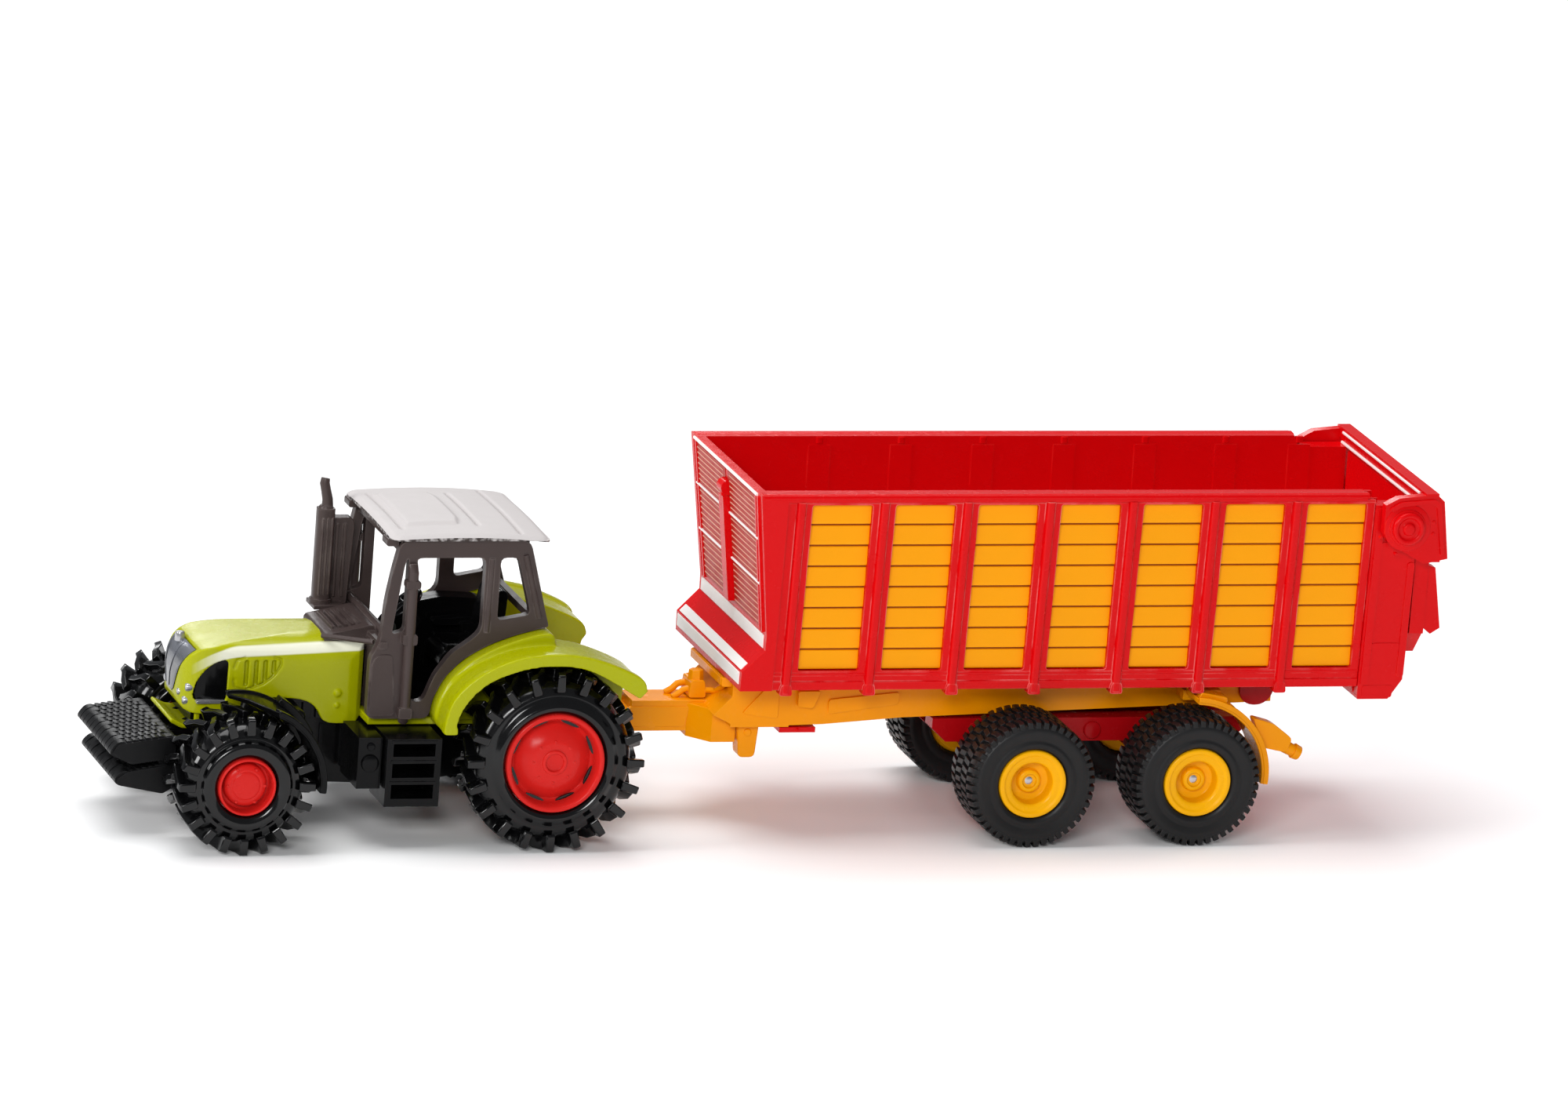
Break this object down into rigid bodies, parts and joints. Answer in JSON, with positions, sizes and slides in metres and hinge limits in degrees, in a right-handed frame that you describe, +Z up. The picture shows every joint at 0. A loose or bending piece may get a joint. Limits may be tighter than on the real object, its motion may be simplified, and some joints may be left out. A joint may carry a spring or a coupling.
{
  "type": "toy tractor with trailer",
  "caption": "Pocket-size toy tractor with a front weight and open cab, hitched to a slatted forage trailer on twin axles with a swinging tailgate.",
  "frame": {"origin": "on the ground, at the middle of the whole length and width", "axes": "+X towards the trailer's tailgate, so the tractor faces -X; +Y towards the tractor's right side; +Z up"},
  "size_m": [0.1516, 0.034, 0.0404],
  "materials": {
    "green_casting": "gloss yellow-green enamel on a zinc die-casting",
    "nose_insert": "silver-grey printed plastic",
    "black_plastic": "glossy black moulded plastic",
    "brown_cab": "satin brown-grey moulded plastic",
    "grey_roof": "matt warm light grey moulded plastic",
    "tractor_tyre": "glossy black moulded tyre",
    "trailer_tyre": "satin black rubber tyre",
    "red_rim": "glossy red moulded plastic",
    "yellow_rim": "glossy yellow moulded plastic",
    "red_hopper": "glossy red moulded plastic",
    "yellow_slat": "glossy golden yellow moulded plastic",
    "orange_frame": "glossy orange-yellow moulded plastic",
    "dark_red_bogie": "glossy dark red moulded plastic",
    "steel_pin": "bright drawn steel"
  },
  "bodies": {
    "tractor": {"body_casting": "green_casting", "nose_grille": "nose_insert", "tractor_chassis": "black_plastic", "front_mudguard_left": "black_plastic", "front_mudguard_right": "black_plastic", "front_linkage": "black_plastic", "front_weight": "black_plastic", "hitch_jaw": "black_plastic", "cab_frame": "brown_cab", "cab_roof": "grey_roof", "exhaust_stack": "brown_cab", "cab_interior": "black_plastic", "steering_wheel": "black_plastic"},
    "front_wheels": {"front_axle": "steel_pin", "front_tyre_left": "tractor_tyre", "front_rim_left": "red_rim", "front_tyre_right": "tractor_tyre", "front_rim_right": "red_rim"},
    "rear_wheels": {"rear_axle": "steel_pin", "rear_tyre_left": "tractor_tyre", "rear_rim_left": "red_rim", "rear_tyre_right": "tractor_tyre", "rear_rim_right": "red_rim"},
    "trailer": {"hopper_tub": "red_hopper", "tailgate_pin_left": "red_hopper", "tailgate_pin_right": "red_hopper", "rib_frame_left": "red_hopper", "rib_frame_right": "red_hopper", "slat_panel_left": "yellow_slat", "slat_panel_right": "yellow_slat", "trailer_chassis": "orange_frame", "support_leg": "orange_frame", "hydraulic_block": "orange_frame", "hopper_clip": "red_hopper", "bogie": "dark_red_bogie", "trailer_mudguard_left": "orange_frame", "trailer_mudguard_right": "orange_frame"},
    "gate": {"tailgate": "red_hopper"},
    "trailer_front_wheels": {"trailer_front_axle": "steel_pin", "trailer_front_tyre_left": "trailer_tyre", "trailer_front_rim_left": "yellow_rim", "trailer_front_tyre_right": "trailer_tyre", "trailer_front_rim_right": "yellow_rim"},
    "trailer_rear_wheels": {"trailer_rear_axle": "steel_pin", "trailer_rear_tyre_left": "trailer_tyre", "trailer_rear_rim_left": "yellow_rim", "trailer_rear_tyre_right": "trailer_tyre", "trailer_rear_rim_right": "yellow_rim"}
  },
  "joints": [
    {"name": "hitch_yaw", "type": "hinge", "parent": "tractor", "child": "trailer", "pos_m": [-0.01785, 0, 0.0107], "axis": [0, 0, 1], "range_deg": [-40, 40]},
    {"name": "tailgate_swing", "type": "hinge", "parent": "trailer", "child": "gate", "pos_m": [0.06995, 0, 0.0365], "axis": [0, -1, 0], "range_deg": [0, 75]},
    {"name": "front_axle_spin", "type": "hinge", "parent": "tractor", "child": "front_wheels", "pos_m": [-0.06235, 0, 0.0078], "axis": [0, 1, 0], "continuous": true},
    {"name": "rear_axle_spin", "type": "hinge", "parent": "tractor", "child": "rear_wheels", "pos_m": [-0.02745, 0, 0.0102], "axis": [0, 1, 0], "continuous": true},
    {"name": "trailer_front_axle_spin", "type": "hinge", "parent": "trailer", "child": "trailer_front_wheels", "pos_m": [0.028, 0, 0.00735], "axis": [0, 1, 0], "continuous": true},
    {"name": "trailer_rear_axle_spin", "type": "hinge", "parent": "trailer", "child": "trailer_rear_wheels", "pos_m": [0.04735, 0, 0.00735], "axis": [0, 1, 0], "continuous": true}
  ]
}
